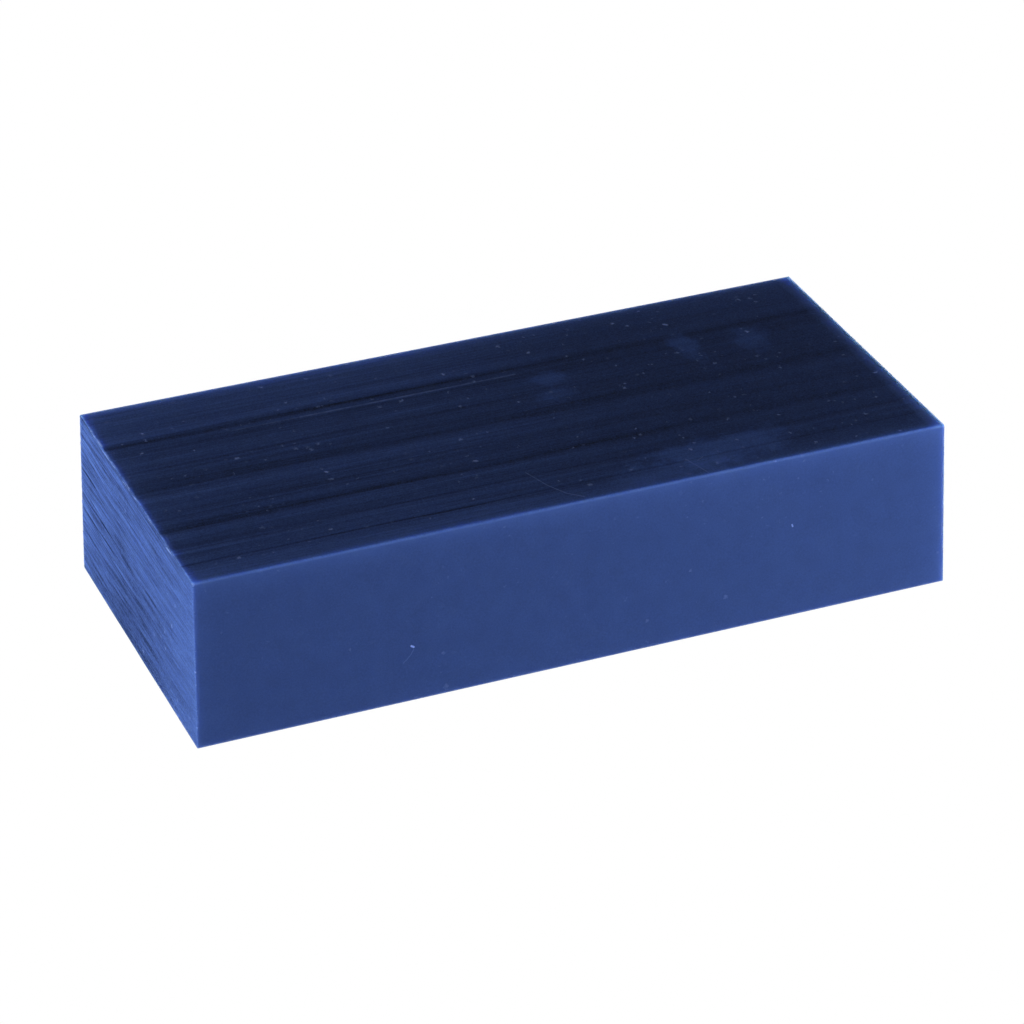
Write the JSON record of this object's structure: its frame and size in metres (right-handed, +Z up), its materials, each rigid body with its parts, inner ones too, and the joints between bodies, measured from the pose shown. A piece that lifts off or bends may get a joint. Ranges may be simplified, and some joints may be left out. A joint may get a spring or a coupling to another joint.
{
  "type": "clay bar",
  "caption": "Solid rectangular bar of firm dark blue detailing clay, with flat satin faces, crisp edges and fine cut marks across its ends, for rubbing bonded dirt off car paint.",
  "frame": {"origin": "middle of the bottom face, where the bar rests", "axes": "+X along the length, +Y across the width, +Z up out of the top face"},
  "size_m": [0.1, 0.0462, 0.0226],
  "materials": {
    "blue_clay": "satin"
  },
  "bodies": {
    "root": {"clay_bar": "blue_clay"}
  },
  "joints": []
}
